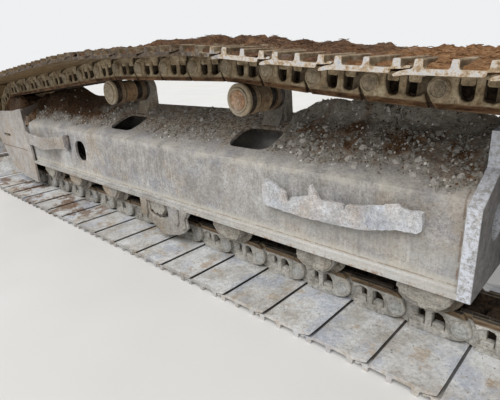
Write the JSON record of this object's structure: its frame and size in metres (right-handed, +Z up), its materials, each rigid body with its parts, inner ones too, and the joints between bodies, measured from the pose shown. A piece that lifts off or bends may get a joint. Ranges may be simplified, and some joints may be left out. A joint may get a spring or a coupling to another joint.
{
  "type": "excavator crawler track unit, left hand",
  "caption": "Left crawler track unit of an excavator: box side frame with rollers, idler, sprocket and final drive inside a closed track of triple-grouser shoes.",
  "frame": {"origin": "on the ground, midway along the track and midway across the shoes", "axes": "+X to the idler end, +Y to the outboard side, +Z up"},
  "size_m": [4.9651, 0.73, 1.0222],
  "materials": {
    "frame_plate": "caked with dry mud",
    "castings": "caked with dry mud",
    "chain_steel": "rusty and worn",
    "roller_steel": "rusty and worn",
    "shoe_steel": "worn, with dry mud",
    "spring_steel": "dark and dirty"
  },
  "bodies": {
    "root": {"side_plate_outer": "frame_plate", "side_plate_inner": "frame_plate", "top_plate": "frame_plate", "bottom_rails": "frame_plate", "rear_end_plate": "frame_plate", "drive_bracket": "frame_plate", "front_fork": "frame_plate", "guard_front_outer": "frame_plate", "guard_front_inner": "frame_plate", "guard_centre_outer": "castings", "guard_centre_inner": "castings", "step_front": "frame_plate", "step_rear_torn": "frame_plate", "carbody_leg_rear": "frame_plate", "carbody_leg_front": "frame_plate", "sprocket": "chain_steel", "final_drive": "castings", "travel_motor": "spring_steel", "idler": "roller_steel", "idler_axle": "castings", "idler_yoke": "spring_steel", "recoil_spring": "spring_steel", "track_roller_1": "roller_steel", "track_roller_2": "roller_steel", "track_roller_3": "roller_steel", "track_roller_4": "roller_steel", "track_roller_5": "roller_steel", "track_roller_6": "roller_steel", "track_roller_7": "roller_steel", "roller_collars": "castings", "carrier_roller_rear": "roller_steel", "carrier_roller_front": "roller_steel", "carrier_bracket_rear": "frame_plate", "carrier_bracket_front": "frame_plate", "track_chain": "chain_steel", "track_shoes": "shoe_steel"}
  },
  "joints": []
}
